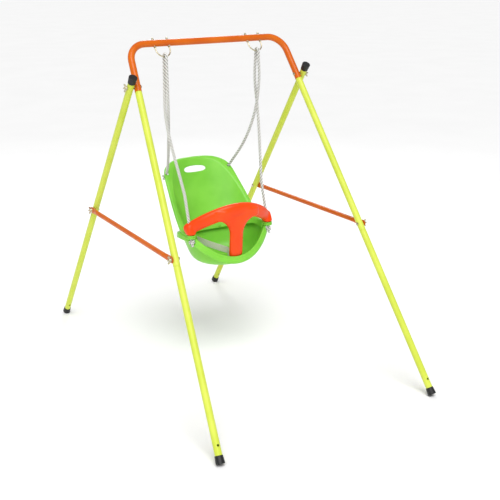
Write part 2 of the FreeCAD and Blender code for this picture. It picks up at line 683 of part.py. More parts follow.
def make_belt():
    """A lap strap from the pan's left wall to a buckle behind the guard's trunk, and a strap from it to the floor."""
    wall, buckle = V(-148, -4, 510), V(0, -72, 450)
    way = (buckle - wall).normalize()
    write("lap_strap", strap([wall, buckle - way * (BUCKLE_W / 2 - 2)], Z))
    body = Part.makeBox(BUCKLE_W, BUCKLE_T, BUCKLE_H, V(-BUCKLE_W / 2, -BUCKLE_T / 2, -BUCKLE_H / 2))
    body = body.makeFillet(3, body.Edges)
    body.translate(buckle)
    write("buckle", body)
    low = buckle - Z * (BUCKLE_H / 2)
    write("crotch_strap", strap([low - Z * 0.2, V(0, buckle.y, PAN_Z + SHELL + 9)], X))


def main():
    os.makedirs("parts", exist_ok=True)
    make_top_bar()
    make_legs()
    make_hangers()
    pan, back = make_ropes(make_pan(), make_backrest())
    pan, back = make_seat_bolts(pan, back)
    write("seat_pan", pan)
    write("backrest", back)
    make_guard()
    make_belt()
    hook = hinge_point()
    print("hinge", tuple(round(c / 1000, 5) for c in hook), "lean", tuple(round(c, 5) for c in LEAN))

main()
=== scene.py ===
"""Looks of a toddler's swing set: powder-coated tube frame, twisted ropes and a moulded bucket seat.

Lengths are in metres: x to the right, y to the back, z up.
"""
import math

import bmesh
import bpy
import numpy as np
from mathutils import Euler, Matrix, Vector


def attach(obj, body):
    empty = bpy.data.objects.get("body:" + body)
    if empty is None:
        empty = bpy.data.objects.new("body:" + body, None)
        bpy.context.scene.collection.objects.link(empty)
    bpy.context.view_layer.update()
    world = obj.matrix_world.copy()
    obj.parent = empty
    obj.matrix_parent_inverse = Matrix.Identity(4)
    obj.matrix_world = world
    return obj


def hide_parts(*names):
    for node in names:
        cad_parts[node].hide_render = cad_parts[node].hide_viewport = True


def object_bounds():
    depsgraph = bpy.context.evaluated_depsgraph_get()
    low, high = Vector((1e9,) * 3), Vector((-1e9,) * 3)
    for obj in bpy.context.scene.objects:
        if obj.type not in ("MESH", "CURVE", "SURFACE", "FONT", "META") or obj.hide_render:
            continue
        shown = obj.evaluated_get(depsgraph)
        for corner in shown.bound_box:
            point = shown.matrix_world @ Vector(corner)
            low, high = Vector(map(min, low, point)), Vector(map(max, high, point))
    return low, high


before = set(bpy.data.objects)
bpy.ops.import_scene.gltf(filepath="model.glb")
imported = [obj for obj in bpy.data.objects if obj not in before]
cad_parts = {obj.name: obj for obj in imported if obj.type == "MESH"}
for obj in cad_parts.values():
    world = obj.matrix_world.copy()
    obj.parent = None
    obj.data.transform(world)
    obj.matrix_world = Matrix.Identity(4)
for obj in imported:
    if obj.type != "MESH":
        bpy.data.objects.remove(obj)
CAD_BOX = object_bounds()

# ---- the pan: half-depths at two heights, wider across ----
PAN_FLOOR = 0.402                # height of the floor's upper face
RIM_LOW_Z, EAR_Z = 0.432, 0.535  # heights of the lowest rim, at the front, and of the rope ears
PAN_WALL = (0.1106, 0.1456)      # inside half-depth at those heights
PAN_LIP = (0.125, 0.163)         # outside of the lip
PAN_WIDEN = 1.16                 # half-width over half-depth
PAN_SKIRT, SKIRT_MORE = 0.015, 0.006    # the lip's turned-down edge, and how much more it is at the ears
SKIRT_GROWS_OVER = 0.09                 # the rise of the rim over which it grows
FLOOR_ROUND, ROUND_RISE = 0.050, 0.8    # rounding of the floor into the wall, and its height as a share
FLOOR_SHARES = (0.04, 0.3, 0.55)        # rings across the flat of the floor, as shares of its depth
FRONT_SLOPE, REAR_SLOPE = 1.5, 0.25     # rise of the rim from the front, and its fall at the rear
FALL_FROM, STEEP_LEAST = 0.92, 0.4      # where the fall is measured, and the least divisor of the rise
SLOPE_BLEND = 0.007                     # rounding between the two slopes
SHELL = 0.0038                          # wall of both shells

# ---- the rolled edge of both shells: steps out and up from the wall's top and from the lip's edge ----
WALL_STOP = 0.004                # the plain wall stops this far below the rim
LIP_INSIDE = ((0.0006, -0.0012), (0.003, 0.0))
LIP_OUTSIDE = ((-0.004, 0.0006), (-0.001, -0.0014))
PAN_LIP_CROWN, BACK_LIP_CROWN = 0.0012, 0.0014
SKIRT_IN = 0.0004

# ---- the backrest: round rings that grow and move back with height ----
BACK_R, BACK_R_RISE = 0.1556, 0.30      # inside radius at the ears, and its growth with height
BACK_Y, BACK_Y_RISE = -0.016, 0.158     # the rings' centre at the ears, and how it moves back
BACK_TOP_Z = 0.766
BACK_CORNER_Y, BACK_SLOPE = 0.012, 1.053    # front end of the slanting rim, and its rise
BACK_HALF_TURN = math.radians(106)      # from straight back round to each front edge
BACK_LIP, BACK_SKIRT = 0.0134, 0.032        # width of the lip, and depth of its turned-back skirt
WING_FROM, WING_OVER, WING_LIP = math.radians(58), math.radians(38), 0.012   # wider towards the front
TAB_SPREAD, TAB_LIP, TAB_R = math.radians(8), 0.0075, 0.225                  # and round the rear holes
CORNER_DIP, CORNER_BLEND = 0.0070, 0.010    # the rim's low front corner
CROWN_DROP, CROWN_BLEND = 0.006, 0.014      # and its crown, with the rounding into the slope
CROWN_FROM, CROWN_OVER, CROWN_SKIRT_LESS = 0.70, 0.066, 0.010    # the skirt is shorter at the crown
SKIRT_TOP, SKIRT_CLEAR, SKIRT_LEAST = 0.001, 0.0015, 0.003       # its start, gap to the pan, least depth
NEST = 0.014                                # the back's lower edge sits this far inside the pan
REAR_HOLE_X = 0.14028
SLOT_Z, SLOT_W, SLOT_H, SLOT_POWER = 0.719, 0.098, 0.023, 2.5

# ---- rope ears at the seat's sides ----
FRONT_HOLE = Vector((0.171, -0.0599, EAR_Z))
ROPE_HOLE_R = 0.00725
EAR_R, EAR_REACH, EAR_T = 0.017, 0.008, 0.006     # radius, extra towards the seat, thickness
EAR_EDGE, EAR_GAP = 0.0014, 0.0004                # bevel, and the gap between the two shells' ears
EAR_TOWARD = math.radians(125)          # the right ear reaches this way, and the left its mirror

# ---- the guard ----
ARM_LINE = [(-0.184, -0.033, 0.550), (-0.140, -0.078, 0.594), (0, -0.124, 0.638),
            (0.140, -0.078, 0.594), (0.184, -0.033, 0.550)]
ARM_HALF_UP, ARM_NARROWS = 0.0272, 0.0050    # half-height in the middle, and how much less at the ends
ARM_HALF_OUT, ARM_THINS = 0.0170, 0.0015
ARM_ROUND = 0.085                            # share of each half that its rounded end takes
TRUNK_LOW, TRUNK_TOP = (-0.098, 0.440), (-0.112, 0.628)     # y and z
TRUNK_HALF, FLARE_R, FLARE_FROM = 0.0285, 0.066, 0.034     # half-width; flare and its depth below the arms
TRUNK_DEEP, TRUNK_SWELL, SWELL_OVER = 0.0132, 0.003, 0.03  # half-depth, a little more under the arms
TRUNK_RINGS, FOOT_ROUND, FOOT_SHARE = 40, 0.008, 0.80      # the foot narrows to this share
BOSS_R, BOSS_NARROWS, BOSS_RINGS = 0.0188, 0.004, 14
BOSS_DOWN, BOSS_UP = -0.0335, 0.006                        # its ends along the rope from the guard's hole
GUARD_HOLE = Vector((0.171, -0.048, 0.575))
ROPE_LEAN = 0.298
GUARD_HOLE_R, HOLE_REACH = 0.0085, 0.06
GUARD_VOXEL, GUARD_SMOOTHING = 0.0025, 14

# ---- the right rope's route, from its front knot over the hanger to its rear knot ----
ROPE_ROUTE = [(0.171, -0.06585, 0.5151), (0.171, -0.01867, 0.6734), (0.171, -0.01224, 0.695),
              (0.2045, 0.06202, 0.94512), (0.1995, 0.0700, 1.075), (0.197, 0.07152, 1.17812),
              (0.197, 0.07142, 1.19952), (0.197, 0.05262, 1.19952), (0.197, 0.05252, 1.17812),
              (0.1945, 0.0540, 1.075), (0.1895, 0.06202, 0.95012), (0.170, 0.11002, 0.83012),
              (0.14028, 0.17944, 0.73164), (0.14028, 0.20402, 0.7083)]
BOW = {"left": 0.0, "right": 0.006}    # a rope's two falls stand apart a little above their crossing
BOWED = ((4, 1), (9, -1))              # the route's points that do so, and which way
ROPE_D, ROPE_LAY, ROPE_LENGTH = 0.012, 0.038, 1.25
STRAND_SHARE, STRAND_SIDES, ROPE_STEP = 0.262, 9, 0.0025    # strand radius over the rope's thickness
KNOT_R, KNOT_SCALE, KNOT_OPEN, KNOT_STEP = 0.0135, 0.00285, 0.35, 0.0015
KNOT_ROPE_D, KNOT_LAY = 0.0096, 0.026                       # pulled tight, the rope is thinner there
TAIL_FROM, TAIL_TO, TAIL_D = 0.004, 0.018, 0.0112
KNOT_CLEAR = 0.0004                    # the hollow in the seat is this much wider than its knot

# ---- belt ----
STRAP_W, STRAP_T = 0.025, 0.0018
STRAP_WALL, BUCKLE = Vector((-0.151, -0.004, 0.520)), Vector((0, -0.072, 0.450))
STRAP_STOP, STRAP_SAG, STRAP_STEP = 0.017, 0.003, 0.004     # the lap strap ends short of the buckle's centre
BUCKLE_HALF, CROTCH_LOW_Z = 0.0152, 0.4112                  # the crotch strap's ends below it

# ---- light, floor and camera ----
WORLD_STRENGTH = 0.41
LAMPS = (("key", (-2.6, -2.4, 2.6), 1.8, 26), ("rim", (1.4, 2.6, 2.6), 0.9, 22))    # place, side, watts
LAMP_TARGET = (0, 0, 0.6)
SUN_STRENGTH, SUN_SPREAD, SUN_TURN = 2.1, math.radians(40), (math.radians(30), math.radians(-12), 0)
FLOOR_HALF, FLOOR_BELOW = 60.0, 0.0002
CAMERA_PLACE, CAMERA_DOWN, CAMERA_TURN = (-1.7127, -2.9352, 1.555), 18.07, -32.10    # degrees
SENSOR, LENS, SHIFT = 36.0, 65.52, (-0.0009, -0.005)


# ---- mesh making ----
def skin(rings, round_=True, caps=(True, True), loop=False):
    """Vertices, faces and UVs (turn, metres along) over rings of points."""
    count, size = rings.shape[:2]
    middles = rings.mean(axis=1)
    along = np.concatenate([[0], np.cumsum(np.linalg.norm(np.diff(middles, axis=0), axis=1))])
    step = np.linalg.norm(middles[0] - middles[-1]) if loop else 0
    along = np.append(along, along[-1] + step)
    faces, uvs = [], []
    for i in range(count if loop else count - 1):
        a, b = i * size, (i + 1) % count * size
        for j in range(size if round_ else size - 1):
            k = (j + 1) % size
            faces.append((a + j, a + k, b + k, b + j))
            u, v = (j / size, (j + 1) / size), (along[i], along[i + 1])
            uvs += [(u[0], v[0]), (u[1], v[0]), (u[1], v[1]), (u[0], v[1])]
    for capped, first in zip(caps, (0, (count - 1) * size)):
        if capped and round_ and not loop:
            faces.append(tuple(range(first, first + size)))
            uvs += [(0.5, along[0] if first == 0 else along[count - 1])] * size
    return rings.reshape(-1, 3), faces, uvs


def piece(name, parts, material=None):
    """One smooth-shaded object from several skins."""
    points, faces, uvs, start = [], [], [], 0
    for part_points, part_faces, part_uvs in parts:
        points.append(part_points)
        faces += [tuple(i + start for i in f) for f in part_faces]
        uvs += part_uvs
        start += len(part_points)
    mesh = bpy.data.meshes.new(name)
    mesh.from_pydata(np.concatenate(points).tolist(), [], faces)
    mesh.uv_layers.new(name="UVMap").data.foreach_set("uv", np.array(uvs, float).ravel())
    work = bmesh.new()
    work.from_mesh(mesh)
    bmesh.ops.recalc_face_normals(work, faces=work.faces)
    work.to_mesh(mesh)
    work.free()
    mesh.polygons.foreach_set("use_smooth", [True] * len(mesh.polygons))
    made = bpy.data.objects.new(name, mesh)
    bpy.context.scene.collection.objects.link(made)
    if material:
        mesh.materials.append(material)
    return made


def settle(made):
    """Applies a piece's modifiers."""
    bpy.context.view_layer.update()
    shaped = made.evaluated_get(bpy.context.evaluated_depsgraph_get())
    mesh = bpy.data.meshes.new_from_object(shaped)
    made.modifiers.clear()
    made.data = mesh
    mesh.polygons.foreach_set("use_smooth", [True] * len(mesh.polygons))
    return made


def modify(made, kind, **settings):
    """Puts a modifier with its settings on a piece."""
    added = made.modifiers.new(kind.lower(), kind)
    for name, value in settings.items():
        setattr(added, name, value)
    return added


def cut_away(made, cutters):
    """Cuts pieces out of a piece, and removes them."""
    for cutter in cutters:
        modify(made, "BOOLEAN", operation="DIFFERENCE", object=cutter, solver="EXACT")
    settle(made)
    for cutter in cutters:
        bpy.data.objects.remove(cutter)
    return made


def frames(line):
    """Unit tangents and two sideways directions along a line, without twist."""
    tangent = np.gradient(line, axis=0)
    tangent /= np.linalg.norm(tangent, axis=1)[:, None]
    side = np.cross(tangent[0], (0.3, 1, 0.2))
    sides = []
    for t in tangent:
        side = side - t * (side @ t)
        side = side / np.linalg.norm(side)
        sides.append(side)
    sides = np.array(sides)
    return tangent, sides, np.cross(tangent, sides)


def rod(name, a, b, radius, sides=32):
    """A round rod from a to b, for cutting holes."""
    line = np.array([a, b], float)
    _, u, w = frames(line)
    turn = np.linspace(0, 2 * math.pi, sides, endpoint=False)[None, :, None]
    rings = line[:, None] + radius * (np.cos(turn) * u[:, None] + np.sin(turn) * w[:, None])
    return piece(name, [skin(rings)])


def ball(name, centre, radius, sides=32):
    """A ball, for cutting hollows."""
    turn = np.linspace(0, 2 * math.pi, sides, endpoint=False)
    tilt = np.linspace(0.02, math.pi - 0.02, sides // 2)
    rings = [[(math.sin(t) * math.cos(a), math.sin(t) * math.sin(a), math.cos(t)) for a in turn]
             for t in tilt]
    return piece(name, [skin(np.array(rings) * radius + np.array(centre))])


def flipped(point):
    """The point's mirror on the object's left side."""
    return Vector((-point[0], point[1], point[2]))


def soft_low(a, b, blend):
    """The lower of two numbers, rounded off where they are close."""
    return -blend * np.logaddexp(-a / blend, -b / blend)


# ---- finishes ----
def linear(colour):
    """An sRGB hex colour as the linear RGBA that shaders take."""
    parts = [int(colour[i:i + 2], 16) / 255 for i in (1, 3, 5)]
    return (*[c / 12.92 if c <= 0.04045 else ((c + 0.055) / 1.055) ** 2.4 for c in parts], 1)


def add(tree, kind, values=(), links=(), **settings):
    """Adds a shader node with its settings, its sockets' values and what is linked to them."""
    made = tree.nodes.new("ShaderNode" + kind)
    for name, value in settings.items():
        setattr(made, name, value)
    for name, value in dict(values).items():
        made.inputs[name].default_value = value
    for name, source in dict(links).items():
        tree.links.new(source, made.inputs[name])
    return made


def finish(name, **values):
    """A material with its shader, its node tree and the object's own coordinates."""
    made = bpy.data.materials.new(name)
    made.use_nodes = True
    tree = made.node_tree
    shader = tree.nodes["Principled BSDF"]
    for key, value in values.items():
        shader.inputs[key.replace("_", " ")].default_value = value
    place = add(tree, "TexCoord")
    return made, tree, shader, place


def colours(ramp, first, last):
    """Sets a colour ramp's two ends."""
    low, high = ramp.color_ramp.elements
    low.color, high.color = linear(first), linear(last)
    return low, high


def mottle(tree, place, shader, dark, light, size):
    """A cloudy change between two colours, in patches of about that size."""
    cloud = add(tree, "TexNoise", {"Scale": 1 / size, "Detail": 4.0}, {"Vector": place.outputs["Object"]})
    ramp = add(tree, "ValToRGB", links={"Fac": cloud.outputs["Fac"]})
    low, high = colours(ramp, dark, light)
    low.position, high.position = 0.35, 0.65
    tree.links.new(ramp.outputs["Color"], shader.inputs["Base Color"])


def grain(tree, place, shader, size, height, rough):
    """A fine uneven surface: bumps of that size and height, and roughness between two values."""
    objects = {"Vector": place.outputs["Object"]}
    noise = add(tree, "TexNoise", {"Scale": 1 / size, "Detail": 2.0}, objects)
    bump = add(tree, "Bump", {"Strength": 1.0, "Distance": height}, {"Height": noise.outputs["Fac"]})
    tree.links.new(bump.outputs["Normal"], shader.inputs["Normal"])
    spots = add(tree, "TexNoise", {"Scale": 0.12 / size, "Detail": 3.0}, objects)
    ranged = add(tree, "MapRange", {"To Min": rough[0], "To Max": rough[1]},
                 {"Value": spots.outputs["Fac"]})
    tree.links.new(ranged.outputs["Result"], shader.inputs["Roughness"])


def powder_coat(name, dark, light):
    """Baked polyester powder on steel tube: an even, glossy colour with a faint orange peel."""
    made, tree, shader, place = finish(name, Coat_Weight=0.10, Coat_Roughness=0.12, Specular_IOR_Level=0.25)
    mottle(tree, place, shader, dark, light, 0.09)
    # real orange peel is about 1 mm across; drawn at 2.5 mm so that it shows
    grain(tree, place, shader, 0.0025, 0.00006, (0.26, 0.40))
    return made


def moulded_polypropylene(name, dark, light, depth, share):
    """Injection-moulded polypropylene: waxy, softly glossy, and lit a little from inside."""
    made, tree, shader, place = finish(name, IOR=1.49, Subsurface_Weight=share, Subsurface_Scale=depth,
                                       Subsurface_Radius=(0.8, 1.0, 0.4), Specular_IOR_Level=0.3)
    mottle(tree, place, shader, dark, light, 0.12)
    # spark-eroded mould grain, 0.5 mm in a real mould, drawn at 1.2 mm so that it shows
    grain(tree, place, shader, 0.0012, 0.00004, (0.26, 0.38))
    return made


def moulded_polyethylene():
    """Black low-density polyethylene end caps: dull sheen, scuffed a little."""
    made, tree, shader, place = finish("polyethylene_moulded_black", IOR=1.51)
    mottle(tree, place, shader, "#09090B", "#151518", 0.012)
    grain(tree, place, shader, 0.0015, 0.00008, (0.38, 0.58))
    return made


def zinc_plate():
    """Zinc-plated steel, yellow passivated: dull metal with a faint straw tint that varies."""
    made, tree, shader, place = finish("steel_zinc_plated", Metallic=1.0)
    mottle(tree, place, shader, "#B9AE8C", "#DCD4BC", 0.008)
    grain(tree, place, shader, 0.0009, 0.00003, (0.24, 0.42))
    return made


def twisted_rope():
    """Laid white polypropylene rope: fine yarns that run along each strand, with a soft sheen."""
    made, tree, shader, place = finish("polypropylene_rope_laid", Sheen_Weight=0.25, Sheen_Roughness=0.4)
    # yarns are 0.4 mm wide; the bands, some 16 round each strand, are 1.2 mm so that they show
    turn = add(tree, "Mapping", {"Scale": (10.0, 220.0, 1.0)}, {"Vector": place.outputs["UV"]})
    yarns = add(tree, "TexWave", {"Scale": 0.5, "Distortion": 2.5, "Detail": 3.0},
                {"Vector": turn.outputs["Vector"]}, bands_direction="X")
    # painted shade: the grooves between strands are drawn darker; the UV turn starts on each strand's
    # outermost line
    parts = add(tree, "SeparateXYZ", links={"Vector": place.outputs["UV"]})
    angle = add(tree, "Math", {1: 2 * math.pi}, {0: parts.outputs["X"]}, operation="MULTIPLY")
    crest = add(tree, "Math", links={0: angle.outputs["Value"]}, operation="COSINE")
    groove_shade = add(tree, "MapRange", {"From Min": -0.1, "From Max": 0.85, "To Min": 0.0, "To Max": 0.8},
                {"Value": crest.outputs["Value"]})
    yarns_and_groove_shade = add(tree, "Math", {1: 0.2}, {0: yarns.outputs["Fac"], 2: groove_shade.outputs["Result"]},
                operation="MULTIPLY_ADD")
    ramp = add(tree, "ValToRGB", links={"Fac": yarns_and_groove_shade.outputs["Value"]})
    # the dark end is the painted shade in the grooves, the light end the rope's own white
    colours(ramp, "#96968E", "#F6F6F2")
    tree.links.new(ramp.outputs["Color"], shader.inputs["Base Color"])
    bump = add(tree, "Bump", {"Strength": 0.8, "Distance": 0.0003}, {"Height": yarns.outputs["Fac"]})
    tree.links.new(bump.outputs["Normal"], shader.inputs["Normal"])
    ranged = add(tree, "MapRange", {"To Min": 0.75, "To Max": 0.55}, {"Value": yarns.outputs["Fac"]})
    tree.links.new(ranged.outputs["Result"], shader.inputs["Roughness"])
    return made


def woven_webbing():
    """Woven polypropylene webbing, pale green-white: ribs across with a fine warp along."""
    made, tree, shader, place = finish("polypropylene_webbing_woven", Sheen_Weight=0.2, Sheen_Roughness=0.5)
    # a 25 mm strap has some 20 warp ribs; the UV turn goes round both faces, so 44 ribs in all
    ribs = add(tree, "Mapping", {"Scale": (44.0, 700.0, 1.0)}, {"Vector": place.outputs["UV"]})
    weave = add(tree, "TexChecker", {"Scale": 1.0, "Color1": linear("#E2EDD6"), "Color2": linear("#C9D9BA")},
                {"Vector": ribs.outputs["Vector"]})
    tree.links.new(weave.outputs["Color"], shader.inputs["Base Color"])
    bump = add(tree, "Bump", {"Strength": 0.7, "Distance": 0.0003}, {"Height": weave.outputs["Fac"]})
    tree.links.new(bump.outputs["Normal"], shader.inputs["Normal"])
    shader.inputs["Roughness"].default_value = 0.75
    return made


# ---- seat ----
def pan_ring(turn, law):
    """Height and half-depth of a pan ring that follows the slanting rim, for a half-depth law."""
    base, rise = law[0], (law[1] - law[0]) / (EAR_Z - RIM_LOW_Z)
    front = -np.sin(turn)
    steep = FRONT_SLOPE * (PAN_LIP[0] - front * base)
    steep = steep / np.maximum(1 + FRONT_SLOPE * front * rise, STEEP_LEAST)
    groove_shade = (EAR_Z - RIM_LOW_Z) - REAR_SLOPE * np.maximum(-front * law[1] * FALL_FROM - BACK_CORNER_Y, 0)
    height = soft_low(steep, groove_shade, SLOPE_BLEND)
    return RIM_LOW_Z + height, base + rise * height


def pan_place(turn, depth, height):
    """Points of the pan at those turns, half-depths and heights."""
    across, along = PAN_WIDEN * depth * np.cos(turn), depth * np.sin(turn)
    return np.stack([across, along, np.broadcast_to(height, turn.shape)], 1)


def pan_wall(z):
    """Half-depth of the pan's inside at a height."""
    return PAN_WALL[0] + (PAN_WALL[1] - PAN_WALL[0]) / (EAR_Z - RIM_LOW_Z) * (z - RIM_LOW_Z)


def pan_bowl(turn, top):
    """Rings of the pan's inside: its floor, the rounding into the wall, and the wall up to a top."""
    foot, ones = pan_wall(PAN_FLOOR), np.ones_like(turn)
    wall_foot = PAN_FLOOR + FLOOR_ROUND * ROUND_RISE
    rings = [pan_place(turn, foot * share * ones, PAN_FLOOR) for share in FLOOR_SHARES]
    start, corner, end = (foot - FLOOR_ROUND, PAN_FLOOR), (foot, PAN_FLOOR), (pan_wall(wall_foot), wall_foot)
    for t in (0, 0.25, 0.5, 0.75, 1):
        depth, z = [(1 - t) ** 2 * start[i] + 2 * t * (1 - t) * corner[i] + t * t * end[i] for i in (0, 1)]
        rings.append(pan_place(turn, depth * ones, z))
    for share in (0.33, 0.66, 1):
        z = wall_foot + (top - wall_foot) * share
        rings.append(pan_place(turn, pan_wall(z), z))
    return rings


def make_pan():
    """The oval bucket: bowl, rolled lip and turned-down skirt."""
    turn = np.linspace(0, 2 * math.pi, 120, endpoint=False)
    rim_z, rim_depth = pan_ring(turn, PAN_WALL)
    lip_z, lip_depth = pan_ring(turn, PAN_LIP)
    rings = pan_bowl(turn, rim_z - WALL_STOP)
    for out, up in LIP_INSIDE:
        rings.append(pan_place(turn, rim_depth + out, rim_z + up))
    rings.append(pan_place(turn, (rim_depth + lip_depth) / 2, (rim_z + lip_z) / 2 + PAN_LIP_CROWN))
    for out, up in LIP_OUTSIDE:
        rings.append(pan_place(turn, lip_depth + out, lip_z + up))
    skirt = PAN_SKIRT + SKIRT_MORE * np.clip((lip_z - RIM_LOW_Z) / SKIRT_GROWS_OVER, 0, 1)
    for share in (0.35, 0.7, 1):
        rings.append(pan_place(turn, lip_depth - SKIRT_IN, lip_z - skirt * share))
    pan = piece("seat_pan_shell", [skin(np.array(rings), caps=(True, False))])
    modify(pan, "SOLIDIFY", thickness=SHELL, offset=-1)
    modify(pan, "SUBSURF", levels=1, render_levels=1)
    return settle(pan)


def back_place(turn, height, out):
    """Points of the backrest: turn from straight back, height, and how far outside its inner wall."""
    rise = height - EAR_Z
    radius = BACK_R + BACK_R_RISE * rise + out
    depth = BACK_Y + BACK_Y_RISE * rise + radius * np.cos(turn)
    return np.stack([radius * np.sin(turn), depth, height], 1)


def back_rim(turn, out):
    """Height of the backrest's rim at that distance outside its inner wall."""
    c = np.cos(turn)
    slant = BACK_SLOPE * (BACK_Y - BACK_CORNER_Y + (BACK_R + out) * c)
    slant = slant / (1 - BACK_SLOPE * (BACK_Y_RISE + BACK_R_RISE * c))
    low = -soft_low(-slant, np.full_like(slant, -CORNER_DIP), CORNER_BLEND)
    crown = BACK_TOP_Z - EAR_Z - CROWN_DROP
    return EAR_Z + soft_low(low, np.full_like(low, crown), CROWN_BLEND)


def slot_share(x, z):
    """1 on the hand slot's rounded outline, and less inside it."""
    across, up = np.abs(2 * x / SLOT_W), np.abs(2 * (z - SLOT_Z) / SLOT_H)
    return (across ** SLOT_POWER + up ** SLOT_POWER) ** (1 / SLOT_POWER)


def back_lip(turn):
    """Width of the backrest's lip: wider at its front wings and round the rear rope holes."""
    wing = np.clip((np.abs(turn) - WING_FROM) / WING_OVER, 0, 1)
    tab = np.exp(-((np.abs(turn) - math.asin(REAR_HOLE_X / TAB_R)) / TAB_SPREAD) ** 2)
    return BACK_LIP + WING_LIP * wing ** 2 * (3 - 2 * wing) + TAB_LIP * tab


def back_skirt(turn, lip, lip_z):
    """Height of the skirt's lower edge, kept clear of the pan's rim and shorter at the crown."""
    lip_y = BACK_Y + (BACK_R + lip) * np.cos(turn)
    lowest = EAR_Z + SKIRT_CLEAR - REAR_SLOPE * np.maximum(lip_y - BACK_CORNER_Y, 0)
    crowned = np.clip((lip_z - CROWN_FROM) / CROWN_OVER, 0, 1)
    bottom = np.maximum(lip_z - BACK_SKIRT + CROWN_SKIRT_LESS * crowned, lowest)
    return np.minimum(bottom, lip_z - SKIRT_LEAST)


def back_rings(turn):
    """Rings of the backrest: up its inner wall, over the lip and down the skirt."""
    lip = back_lip(turn)
    rim_z, lip_z = back_rim(turn, 0 * turn), back_rim(turn, lip)
    foot_y = BACK_Y + BACK_R * np.cos(turn)
    foot = EAR_Z - NEST - REAR_SLOPE * np.maximum(foot_y - BACK_CORNER_Y, 0)
    rings = []
    for share in np.linspace(0, 1, 60):
        rings.append(back_place(turn, foot + (rim_z - WALL_STOP - foot) * share, 0))
    (first, first_up), (near, _) = LIP_INSIDE
    rings.append(back_place(turn, rim_z + first_up, first))
    rings.append(back_place(turn, back_rim(turn, near + 0 * turn), near))
    rings.append(back_place(turn, back_rim(turn, lip / 2) + BACK_LIP_CROWN, lip / 2))
    (far, far_up), (last, last_up) = LIP_OUTSIDE
    rings.append(back_place(turn, back_rim(turn, lip + far) + far_up, lip + far))
    rings.append(back_place(turn, lip_z + last_up, lip + last))
    top, bottom = lip_z - SKIRT_TOP, back_skirt(turn, lip, lip_z)
    for share in (0.3, 0.65, 1):
        rings.append(back_place(turn, top + (bottom - top) * share, lip - SKIRT_IN))
    return rings


def open_slot(points, faces, uvs):
    """Takes out the faces inside the hand slot and draws the edge that is left onto its outline."""
    centres = points[np.array(faces)].mean(axis=1)
    gone = (slot_share(centres[:, 0], centres[:, 2]) < 1) & (centres[:, 1] > 0)
    kept = [f for f, g in zip(faces, gone) if not g]
    kept_uvs = [uv for i, uv in enumerate(uvs) if not gone[i // 4]]
    edge = {i for f, g in zip(faces, gone) if g for i in f} & {i for f in kept for i in f}
    for i in edge:
        x, _, z = points[i]
        grow = 1 / slot_share(x, z)
        x, z = x * grow, SLOT_Z + (z - SLOT_Z) * grow
        radius = BACK_R + BACK_R_RISE * (z - EAR_Z)
        points[i] = (x, BACK_Y + BACK_Y_RISE * (z - EAR_Z) + math.sqrt(radius ** 2 - x ** 2), z)
    used = sorted({i for f in kept for i in f})
    number = {old: new for new, old in enumerate(used)}
    return points[used], [tuple(number[i] for i in f) for f in kept], kept_uvs


def make_backrest():
    """The high back, open at the front, with its hand slot."""
    turn = np.linspace(-BACK_HALF_TURN, BACK_HALF_TURN, 161)
    shell = open_slot(*skin(np.array(back_rings(turn)), round_=False))
    back = piece("backrest_shell", [shell])
    modify(back, "SOLIDIFY", thickness=SHELL, offset=1)
    modify(back, "SUBSURF", levels=1, render_levels=1)
    return settle(back)


def ear_plate(hole, low, toward):
    """A rounded tab with a hole, a little longer towards the seat."""
    turn = np.linspace(0, 2 * math.pi, 48, endpoint=False)
    outer = EAR_R + EAR_REACH * np.maximum(np.cos(turn - toward), 0) ** 2
    inner = np.full_like(turn, ROPE_HOLE_R)
    edge = EAR_EDGE
    section = [(inner, edge), (inner, EAR_T - edge), (inner + edge, EAR_T), (outer - edge, EAR_T),
               (outer, EAR_T - edge), (outer, edge), (outer - edge, 0), (inner + edge, 0)]
    rings = [[(hole[0] + r[i] * math.cos(a), hole[1] + r[i] * math.sin(a), low + z) for r, z in section]
             for i, a in enumerate(turn)]
    return skin(np.array(rings), loop=True)


def joined(name, first, others, material):
    """One object from several, with one material."""
    work = bmesh.new()
    for source in [first, *others]:
        work.from_mesh(source.data)
    mesh = bpy.data.meshes.new(name)
    work.to_mesh(mesh)
    work.free()
    for source in [first, *others]:
        bpy.data.objects.remove(source)
    mesh.materials.clear()
    mesh.materials.append(material)
    mesh.polygons.foreach_set("use_smooth", [True] * len(mesh.polygons))
    mesh.polygons.foreach_set("material_index", [0] * len(mesh.polygons))
    made = bpy.data.objects.new(name, mesh)
    bpy.context.scene.collection.objects.link(made)
    return made


def rope_way():
    """The direction of the front ropes through the seat and the guard."""
    return Vector((0, ROPE_LEAN, 1)).normalized()


def seat_cutters():
    """Rope holes and knot hollows at the front and the back of the seat."""
    cutters, way = [], rope_way()
    rear, before = Vector(ROPE_ROUTE[-1]), Vector(ROPE_ROUTE[-2])
    for side in (flipped, Vector):
        cutters.append(rod("hole", side(FRONT_HOLE - way * 0.02), side(FRONT_HOLE + way * 0.03), ROPE_HOLE_R))
        cutters.append(ball("hollow", side(ROPE_ROUTE[0]), KNOT_R + KNOT_CLEAR))
        cutters.append(rod("hole", side(rear), side(before + (before - rear) * 0.4), ROPE_HOLE_R))
        cutters.append(ball("hollow", side(rear), KNOT_R + KNOT_CLEAR))
    return cutters


def make_seat(material):
    """The pan and the backrest, each with its two rope ears."""
    for make, name, low in ((make_pan, "seat_pan", EAR_Z - EAR_T),
                            (make_backrest, "backrest", EAR_Z + EAR_GAP)):
        shell = cut_away(make(), seat_cutters())
        ears = piece("ears", [ear_plate(FRONT_HOLE, low, EAR_TOWARD),
                              ear_plate(flipped(FRONT_HOLE), low, math.pi - EAR_TOWARD)])
        shell = joined(name + "_moulded", shell, [ears], material)
        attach(shell, "swing")
        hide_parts(name)


